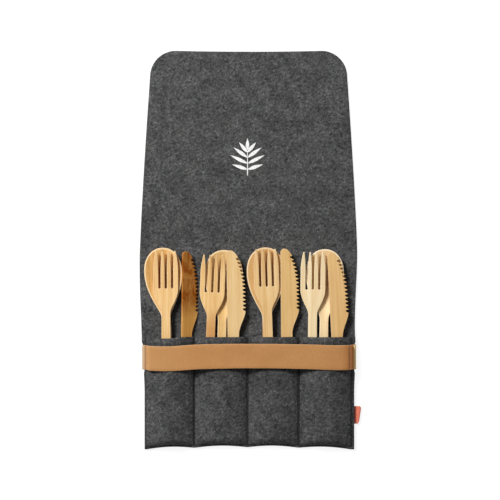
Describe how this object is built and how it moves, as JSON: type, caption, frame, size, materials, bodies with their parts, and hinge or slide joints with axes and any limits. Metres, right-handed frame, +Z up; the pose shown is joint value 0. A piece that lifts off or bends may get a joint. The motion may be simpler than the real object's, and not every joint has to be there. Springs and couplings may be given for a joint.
{
  "type": "cutlery set",
  "caption": "Grey felt cutlery wrap opened flat, its sewn pockets holding bamboo spoons, forks and knives, with a tan leather band round the pockets and a plain open flap",
  "frame": {"origin": "on the surface the wrap lies on, under the middle of the whole object", "axes": "+Z up, +Y towards the free end of the open flap, +X to the right seen from above with the flap away from the viewer"},
  "size_m": [0.22, 0.3982, 0.0209],
  "materials": {
    "felt": "grey felt of mixed light and dark fibres, matt",
    "band_leather": "tan leather, smooth, half matt",
    "tab_ribbon": "orange red woven ribbon, matt",
    "bamboo": "sanded and oiled bamboo with fine grain along each piece"
  },
  "bodies": {
    "root": {"felt_wrap": "felt", "leather_band": "band_leather", "side_tab": "tab_ribbon", "spoon_1": "bamboo", "spoon_2": "bamboo", "spoon_3": "bamboo", "spoon_4": "bamboo", "fork_1": "bamboo", "fork_2": "bamboo", "fork_3": "bamboo", "fork_4": "bamboo", "knife_1": "bamboo", "knife_2": "bamboo", "knife_3": "bamboo", "knife_4": "bamboo"}
  },
  "joints": []
}
